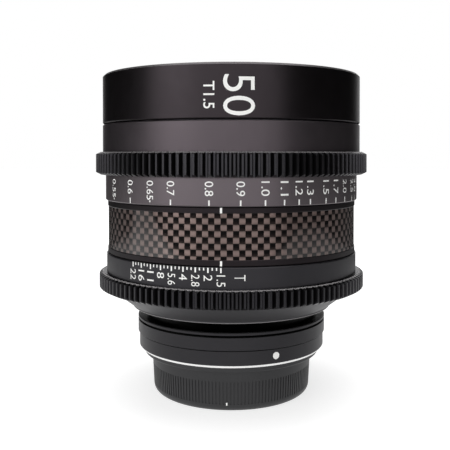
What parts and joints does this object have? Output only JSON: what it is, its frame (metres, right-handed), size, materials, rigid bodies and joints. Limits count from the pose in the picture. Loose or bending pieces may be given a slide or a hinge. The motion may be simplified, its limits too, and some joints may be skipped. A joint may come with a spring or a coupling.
{
  "type": "cinema prime lens",
  "caption": "Cinema prime lens with toothed focus and iris rings, a sliding optical unit, a working leaf iris, a filter thread, a bayonet and a rear cap.",
  "frame": {"origin": "on the optical axis, at the bottom of the rear cap, where the lens stands", "axes": "+Z along the optical axis towards the front of the lens; -Y through the index line of both scales; rest pose: focus ring at the distance in the picture, iris wide open, cap fitted"},
  "size_m": [0.1, 0.1, 0.1156],
  "materials": {
    "black_anodised": "satin black anodised",
    "gear_black": "black anodised, machined teeth",
    "inner_alloy": "dark grey anodised, turned",
    "matt_black_alloy": "matt black anodised",
    "carbon_fibre": "glossy plain-weave carbon fibre",
    "bright_steel": "fine turned",
    "plain_steel": "plain",
    "black_steel": "blackened",
    "brass": "turned",
    "white_enamel": "smooth",
    "coated_glass": "polished, coated",
    "blade_steel": "blackened, matt",
    "cap_plastic": "moulded, fine grain"
  },
  "bodies": {
    "barrel": {"front_ring": "black_anodised", "front_baffle": "matt_black_alloy", "main_barrel": "inner_alloy", "helicoid_retainer": "inner_alloy", "upper_trim_ring": "black_anodised", "carbon_sleeve": "carbon_fibre", "lower_trim_ring": "black_anodised", "rear_barrel": "black_anodised", "mount_upper_ring": "black_anodised", "mount_lower_ring": "black_anodised", "index_dot": "white_enamel", "bayonet_flange": "bright_steel", "mount_screws": "plain_steel", "rear_mask": "matt_black_alloy"},
    "focus_ring": {"focus_sleeve": "black_anodised", "focus_gear_ring": "gear_black", "focus_scale_ring": "black_anodised", "focus_set_screws": "black_steel", "helicoid_sleeve": "brass", "focus_drive_pin": "plain_steel"},
    "iris_ring": {"iris_sleeve": "black_anodised", "iris_scale_ring": "black_anodised", "iris_gear_ring": "gear_black", "iris_set_screws": "black_steel", "iris_fork": "plain_steel"},
    "optical_unit": {"optical_barrel": "inner_alloy", "guide_keys": "brass", "key_screws": "plain_steel", "front_cell": "matt_black_alloy", "front_spacer": "inner_alloy", "inner_lock_ring": "inner_alloy", "front_lock_ring": "matt_black_alloy", "glass_1": "coated_glass", "glass_2": "coated_glass", "glass_3": "coated_glass", "glass_4": "coated_glass", "rear_cell": "matt_black_alloy", "rear_spacer_upper": "inner_alloy", "rear_spacer_lower": "inner_alloy", "rear_lock_ring": "matt_black_alloy", "glass_5": "coated_glass", "glass_6": "coated_glass", "glass_7": "coated_glass", "glass_8": "coated_glass", "iris_cage": "inner_alloy", "iris_retainer": "inner_alloy"},
    "iris_drive": {"iris_drive_ring": "inner_alloy"},
    "blade_01": {"blade_01": "blade_steel"},
    "blade_02": {"blade_02": "blade_steel"},
    "blade_03": {"blade_03": "blade_steel"},
    "blade_04": {"blade_04": "blade_steel"},
    "blade_05": {"blade_05": "blade_steel"},
    "blade_06": {"blade_06": "blade_steel"},
    "blade_07": {"blade_07": "blade_steel"},
    "blade_08": {"blade_08": "blade_steel"},
    "blade_09": {"blade_09": "blade_steel"},
    "blade_10": {"blade_10": "blade_steel"},
    "blade_11": {"blade_11": "blade_steel"},
    "cap": {"rear_cap": "cap_plastic"}
  },
  "joints": [
    {"name": "focus_turn", "type": "hinge", "parent": "barrel", "child": "focus_ring", "pos_m": [0, 0, 0.0842], "axis": [0, 0, 1], "range_deg": [-101, 56]},
    {"name": "optics_slide", "type": "slide", "parent": "barrel", "child": "optical_unit", "axis": [0, 0, 1], "range_m": [-0.00312, 0.00173]},
    {"name": "iris_turn", "type": "hinge", "parent": "barrel", "child": "iris_ring", "pos_m": [0, 0, 0.0451], "axis": [0, 0, 1], "range_deg": [0, 40.6]},
    {"name": "iris_drive_turn", "type": "hinge", "parent": "optical_unit", "child": "iris_drive", "pos_m": [0, 0, 0.0537], "axis": [0, 0, 1], "range_deg": [0, 40.6]},
    {"name": "blade_01_swing", "type": "hinge", "parent": "optical_unit", "child": "blade_01", "pos_m": [0.023, 0, 0.0555], "axis": [0, 0, 1], "range_deg": [0, 35.18]},
    {"name": "blade_02_swing", "type": "hinge", "parent": "optical_unit", "child": "blade_02", "pos_m": [0.01935, 0.01243, 0.0555], "axis": [0, 0, 1], "range_deg": [0, 35.18]},
    {"name": "blade_03_swing", "type": "hinge", "parent": "optical_unit", "child": "blade_03", "pos_m": [0.00955, 0.02092, 0.0555], "axis": [0, 0, 1], "range_deg": [0, 35.18]},
    {"name": "blade_04_swing", "type": "hinge", "parent": "optical_unit", "child": "blade_04", "pos_m": [-0.00327, 0.02277, 0.0555], "axis": [0, 0, 1], "range_deg": [0, 35.18]},
    {"name": "blade_05_swing", "type": "hinge", "parent": "optical_unit", "child": "blade_05", "pos_m": [-0.01506, 0.01738, 0.0555], "axis": [0, 0, 1], "range_deg": [0, 35.18]},
    {"name": "blade_06_swing", "type": "hinge", "parent": "optical_unit", "child": "blade_06", "pos_m": [-0.02207, 0.00648, 0.0555], "axis": [0, 0, 1], "range_deg": [0, 35.18]},
    {"name": "blade_07_swing", "type": "hinge", "parent": "optical_unit", "child": "blade_07", "pos_m": [-0.02207, -0.00648, 0.0555], "axis": [0, 0, 1], "range_deg": [0, 35.18]},
    {"name": "blade_08_swing", "type": "hinge", "parent": "optical_unit", "child": "blade_08", "pos_m": [-0.01506, -0.01738, 0.0555], "axis": [0, 0, 1], "range_deg": [0, 35.18]},
    {"name": "blade_09_swing", "type": "hinge", "parent": "optical_unit", "child": "blade_09", "pos_m": [-0.00327, -0.02277, 0.0555], "axis": [0, 0, 1], "range_deg": [0, 35.18]},
    {"name": "blade_10_swing", "type": "hinge", "parent": "optical_unit", "child": "blade_10", "pos_m": [0.00955, -0.02092, 0.0555], "axis": [0, 0, 1], "range_deg": [0, 35.18]},
    {"name": "blade_11_swing", "type": "hinge", "parent": "optical_unit", "child": "blade_11", "pos_m": [0.01935, -0.01243, 0.0555], "axis": [0, 0, 1], "range_deg": [0, 35.18]},
    {"name": "cap_pull", "type": "slide", "parent": "barrel", "child": "cap", "axis": [0, 0, -1], "range_m": [0, 0.03]}
  ],
  "couplings": [
    {"joint": "optics_slide", "follows": "focus_turn", "m_per_rad": 0.0017666},
    {"joint": "iris_drive_turn", "follows": "iris_turn", "ratio": 1},
    {"joint": "blade_01_swing", "follows": "iris_turn", "ratio": 0.86642},
    {"joint": "blade_02_swing", "follows": "iris_turn", "ratio": 0.86642},
    {"joint": "blade_03_swing", "follows": "iris_turn", "ratio": 0.86642},
    {"joint": "blade_04_swing", "follows": "iris_turn", "ratio": 0.86642},
    {"joint": "blade_05_swing", "follows": "iris_turn", "ratio": 0.86642},
    {"joint": "blade_06_swing", "follows": "iris_turn", "ratio": 0.86642},
    {"joint": "blade_07_swing", "follows": "iris_turn", "ratio": 0.86642},
    {"joint": "blade_08_swing", "follows": "iris_turn", "ratio": 0.86642},
    {"joint": "blade_09_swing", "follows": "iris_turn", "ratio": 0.86642},
    {"joint": "blade_10_swing", "follows": "iris_turn", "ratio": 0.86642},
    {"joint": "blade_11_swing", "follows": "iris_turn", "ratio": 0.86642}
  ]
}
